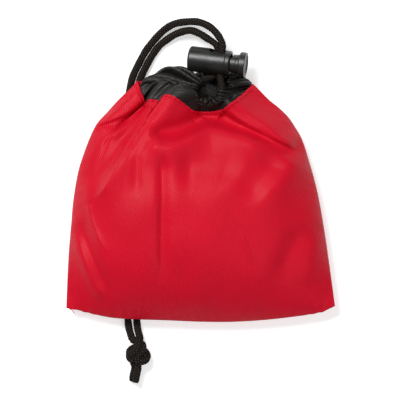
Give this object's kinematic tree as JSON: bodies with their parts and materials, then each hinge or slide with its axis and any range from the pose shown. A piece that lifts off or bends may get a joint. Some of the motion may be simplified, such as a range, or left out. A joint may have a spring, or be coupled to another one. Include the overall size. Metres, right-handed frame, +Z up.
{
  "type": "throw rope bag",
  "caption": "Small drawstring rope bag of two sewn panels with a gathered collar, a doubled drawcord with an end knot, and a sprung barrel cord lock.",
  "frame": {"origin": "on the surface that the bag lies on, under the middle of its back panel", "axes": "+Z up from the surface, +Y from the bottom seam towards the mouth, +X to the bag's right seen from the front"},
  "size_m": [0.1206, 0.1642, 0.0296],
  "materials": {
    "red_nylon": "satin twill",
    "red_thread": "satin",
    "black_nylon": "satin twill",
    "black_thread": "satin",
    "black_cord": "matt round braid",
    "black_plastic": "satin moulded",
    "spring_steel": "drawn wire"
  },
  "bodies": {
    "bag": {"front_panel": "red_nylon", "back_panel": "red_nylon", "left_side_seam": "red_thread", "right_side_seam": "red_thread", "bottom_seam": "red_thread", "front_topstitch": "red_thread", "back_topstitch": "red_thread", "collar_front": "black_nylon", "collar_back": "black_nylon", "casing_stitch_front": "black_thread", "casing_stitch_back": "black_thread", "neck_loop": "black_cord", "drawcord_leg_a": "black_cord", "drawcord_leg_b": "black_cord", "cord_tail_a": "black_cord", "cord_tail_b": "black_cord", "end_knot": "black_cord"},
    "lock": {"lock_barrel": "black_plastic", "lock_spring": "spring_steel"},
    "plunger": {"lock_plunger": "black_plastic"}
  },
  "joints": [
    {"name": "lock_slide", "type": "slide", "parent": "bag", "child": "lock", "axis": [0.0782, 0.9638, 0.2549], "range_m": [0, 0.0015]},
    {"name": "plunger_press", "type": "slide", "parent": "lock", "child": "plunger", "axis": [-0.9768, 0.1251, -0.1736], "range_m": [0, 0.0035], "stiffness_N_per_m": 1500, "springref_m": -0.006, "deforming": ["lock_spring"]}
  ]
}
